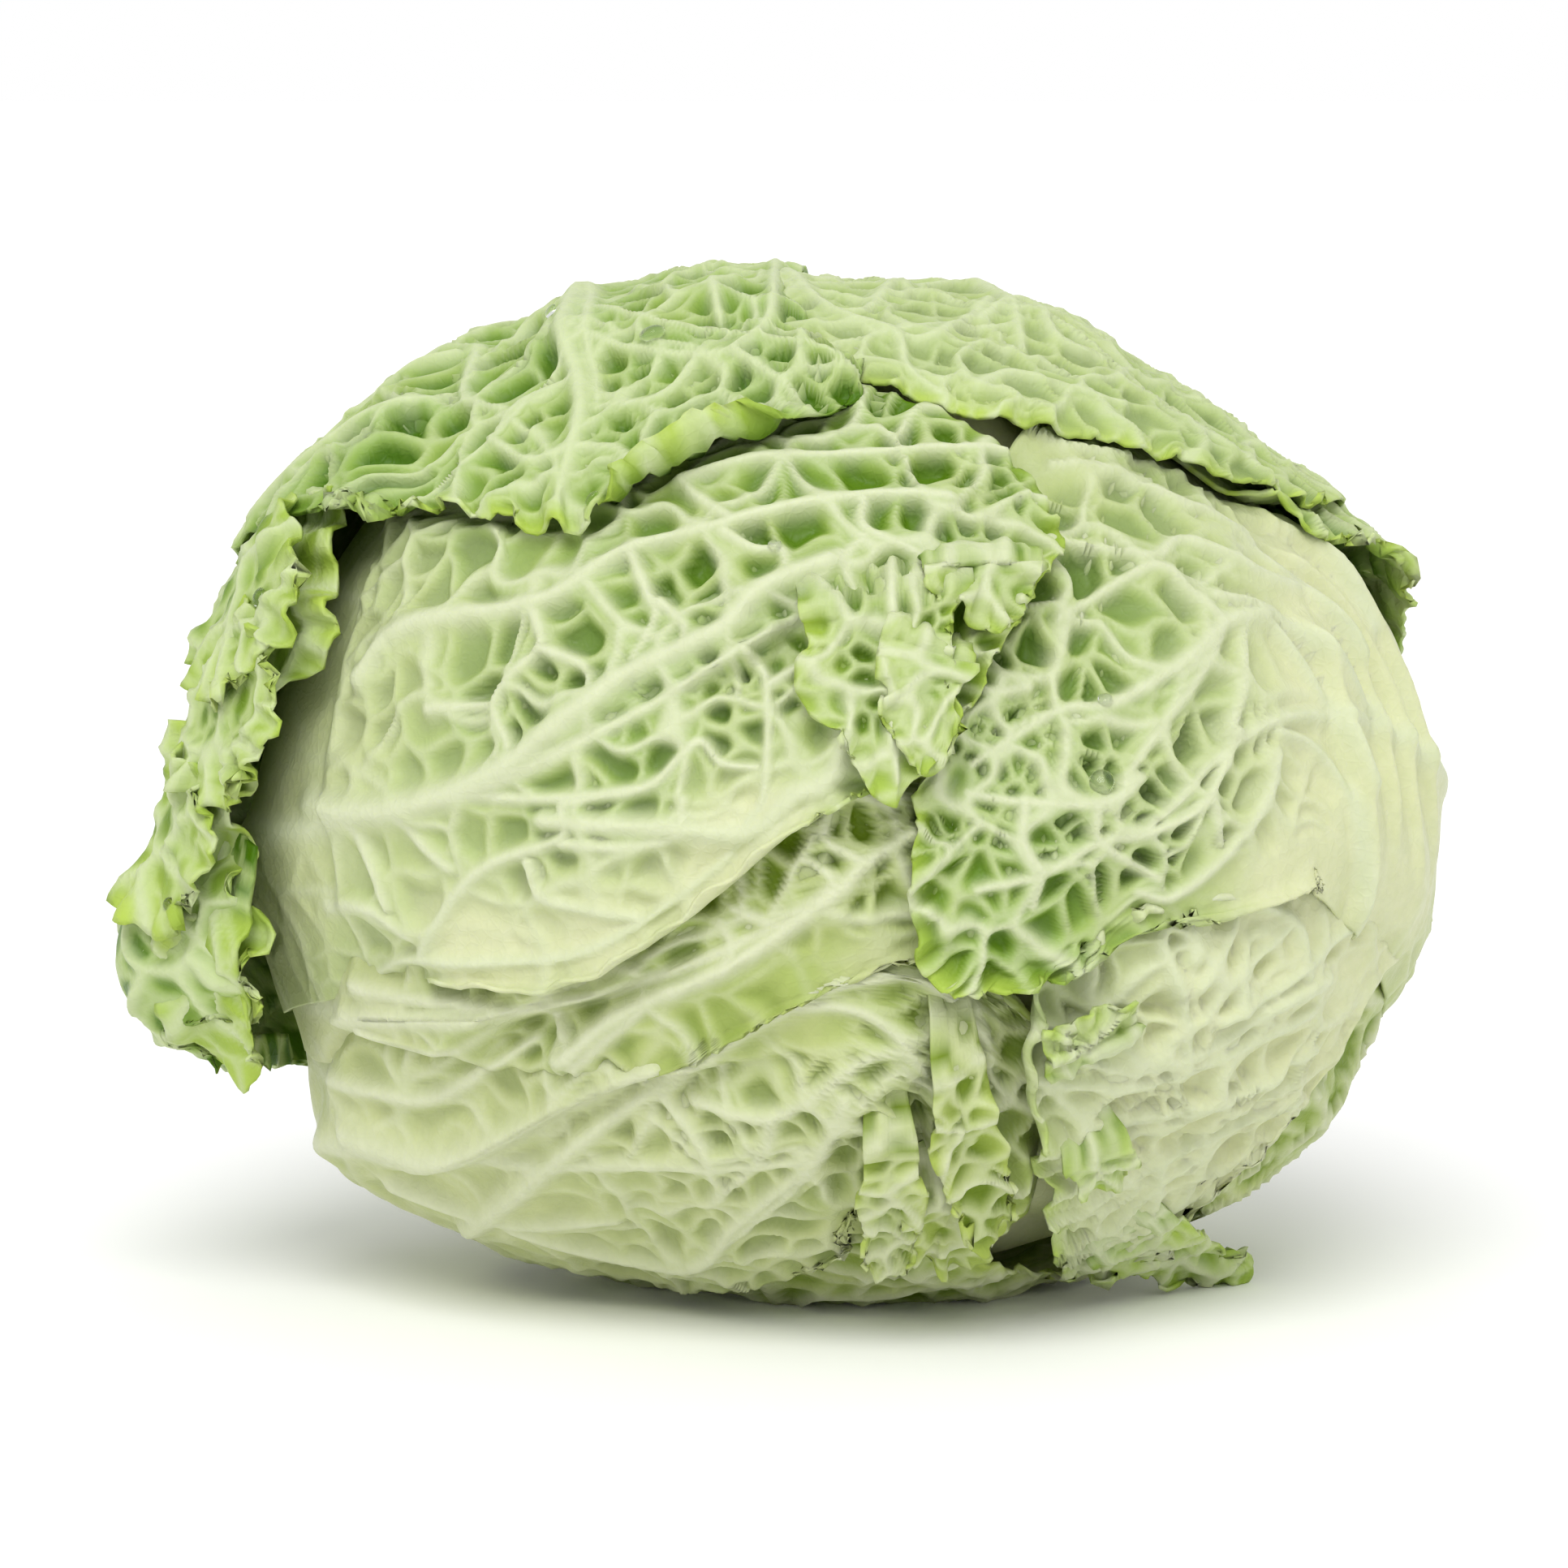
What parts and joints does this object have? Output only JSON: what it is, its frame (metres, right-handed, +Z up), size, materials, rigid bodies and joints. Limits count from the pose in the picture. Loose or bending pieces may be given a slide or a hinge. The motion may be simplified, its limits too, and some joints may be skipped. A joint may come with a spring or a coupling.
{
  "type": "savoy cabbage",
  "caption": "Head of savoy cabbage lying on its side: crinkled wrapper leaves over a packed ball of inner leaves, with a cut stem at the back.",
  "frame": {"origin": "centre of the base of the bounding box, on the surface that the head lies on", "axes": "+Z up, -Y towards the apex where the leaf tips meet, +Y towards the cut stem, +X along the head's longest side"},
  "size_m": [0.2, 0.1636, 0.1557],
  "materials": {
    "pale_leaf": "fresh pale yellow-green leaf, soft satin sheen, whitish raised veins",
    "middle_leaf": "fresh light green leaf, soft satin sheen, whitish raised veins",
    "outer_leaf": "fresh mid green leaf, soft satin sheen, whitish raised veins and yellow-green frilled margins",
    "heart_leaf": "pale creamy leaf, satin",
    "stem": "matte cut plant stem, creamy white"
  },
  "bodies": {
    "root": {"inner_leaves": "heart_leaf", "stem": "stem", "left_under_leaf": "pale_leaf", "right_under_leaf": "pale_leaf", "bottom_leaf": "pale_leaf", "lower_left_leaf": "pale_leaf", "left_middle_leaf": "pale_leaf", "lower_right_leaf": "middle_leaf", "right_wrapper_leaf": "middle_leaf", "left_wrapper_leaf": "middle_leaf", "right_outer_leaf": "outer_leaf", "left_outer_leaf": "outer_leaf", "right_crown_leaf": "outer_leaf", "left_crown_leaf": "outer_leaf"}
  },
  "joints": []
}
